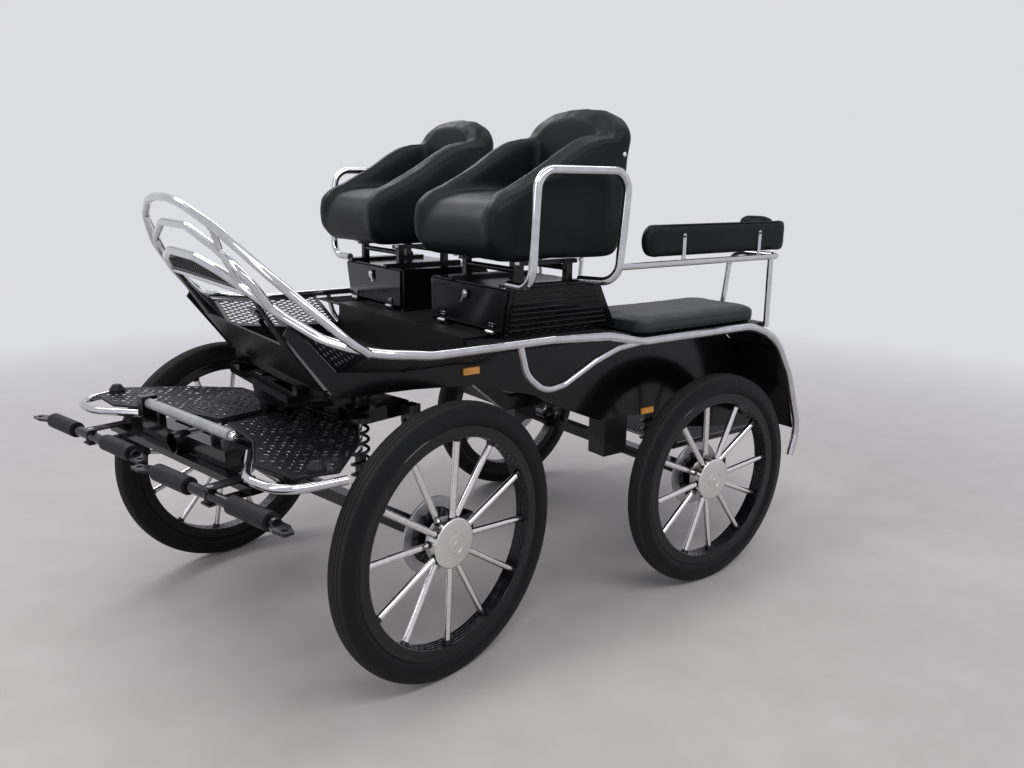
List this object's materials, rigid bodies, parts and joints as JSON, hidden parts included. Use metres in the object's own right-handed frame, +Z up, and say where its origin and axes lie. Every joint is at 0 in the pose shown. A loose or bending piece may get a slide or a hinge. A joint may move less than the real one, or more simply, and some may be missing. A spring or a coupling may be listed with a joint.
{
  "type": "horse-drawn carriage",
  "caption": "Light four-wheeled driving carriage with a turning fore-carriage, two bucket seats over lockers, side benches at the back and a low rear step.",
  "frame": {"origin": "middle of the outline on the floor, as parked with the steering turned to the left", "axes": "+X forward along the carriage's length, +Y to its left, +Z up"},
  "size_m": [2.9474, 1.6434, 1.76],
  "materials": {
    "polished_steel": "polished",
    "black_vinyl": "satin",
    "black_paint": "gloss",
    "grey_sleeve": "satin",
    "black_mesh": "satin",
    "tyre": "matt",
    "rubber": "matt",
    "amber": "gloss"
  },
  "bodies": {
    "carriage": {"arm_loops": "polished_steel", "bench_cushion_left": "black_vinyl", "bench_cushion_right": "black_vinyl", "bench_decks": "black_paint", "brake_pedal": "black_paint", "chassis_frame": "black_paint", "dash_bows": "polished_steel", "dash_mesh": "black_mesh", "deck_mesh": "black_mesh", "end_pads": "black_vinyl", "floor_pan": "black_paint", "footwell_mesh": "black_mesh", "locker_left": "black_paint", "locker_right": "black_paint", "main_rail": "polished_steel", "mudguards": "black_paint", "platform_frame": "black_paint", "platform_mesh": "black_mesh", "rear_axle": "black_paint", "rear_suspension": "black_paint", "rest_pads": "black_vinyl", "rest_rails": "polished_steel", "seat_left": "black_vinyl", "seat_right": "black_vinyl", "seat_runners": "black_paint", "side_panels": "black_paint", "side_reflectors": "amber", "toe_board": "black_paint"},
    "fore_carriage": {"cross_roller": "grey_sleeve", "fore_frame": "black_paint", "front_axle": "black_paint", "front_suspension": "black_paint", "rubber_buffers": "rubber", "splinter_bar": "black_paint", "step_plates": "black_mesh", "wheel_bumpers": "polished_steel"},
    "front_left_wheel": {"front_left_hub": "polished_steel", "front_left_rim": "black_paint", "front_left_spokes": "polished_steel", "front_left_tyre": "tyre"},
    "front_right_wheel": {"front_right_hub": "polished_steel", "front_right_rim": "black_paint", "front_right_spokes": "polished_steel", "front_right_tyre": "tyre"},
    "rear_left_wheel": {"rear_left_hub": "polished_steel", "rear_left_rim": "black_paint", "rear_left_spokes": "polished_steel", "rear_left_tyre": "tyre"},
    "rear_right_wheel": {"rear_right_hub": "polished_steel", "rear_right_rim": "black_paint", "rear_right_spokes": "polished_steel", "rear_right_tyre": "tyre"},
    "swingletree_left": {"swingletree_left": "black_paint", "tree_sleeves_left": "rubber"},
    "locker_flap_left": {"locker_flap_left": "black_paint"},
    "swingletree_right": {"swingletree_right": "black_paint", "tree_sleeves_right": "rubber"},
    "locker_flap_right": {"locker_flap_right": "black_paint"}
  },
  "joints": [
    {"name": "steering", "type": "hinge", "parent": "carriage", "child": "fore_carriage", "pos_m": [0.66628, -0.05207, 0.812], "axis": [0, 0, 1], "range_deg": [-38.87, 15.13]},
    {"name": "front_left_wheel_spin", "type": "hinge", "parent": "fore_carriage", "child": "front_left_wheel", "pos_m": [0.5295, 0.59871, 0.44], "axis": [-0.2057, 0.9786, 0], "continuous": true},
    {"name": "rear_left_wheel_spin", "type": "hinge", "parent": "carriage", "child": "rear_left_wheel", "pos_m": [-0.63372, 0.61293, 0.41], "axis": [0, 1, 0], "continuous": true},
    {"name": "front_right_wheel_spin", "type": "hinge", "parent": "fore_carriage", "child": "front_right_wheel", "pos_m": [0.80307, -0.70285, 0.44], "axis": [-0.2057, 0.9786, 0], "continuous": true},
    {"name": "rear_right_wheel_spin", "type": "hinge", "parent": "carriage", "child": "rear_right_wheel", "pos_m": [-0.63372, -0.71707, 0.41], "axis": [0, 1, 0], "continuous": true},
    {"name": "swingletree_left_pivot", "type": "hinge", "parent": "fore_carriage", "child": "swingletree_left", "pos_m": [1.1909, 0.45161, 0.69], "axis": [0, 0, 1], "range_deg": [-12, 7]},
    {"name": "swingletree_right_pivot", "type": "hinge", "parent": "fore_carriage", "child": "swingletree_right", "pos_m": [1.34928, -0.30193, 0.69], "axis": [0, 0, 1], "range_deg": [-12, 7]},
    {"name": "locker_flap_left_hinge", "type": "hinge", "parent": "carriage", "child": "locker_flap_left", "pos_m": [0.27428, 0.25793, 1.042], "axis": [0, 1, 0], "range_deg": [0, 95]},
    {"name": "locker_flap_right_hinge", "type": "hinge", "parent": "carriage", "child": "locker_flap_right", "pos_m": [0.27428, -0.36207, 1.042], "axis": [0, 1, 0], "range_deg": [0, 95]}
  ]
}
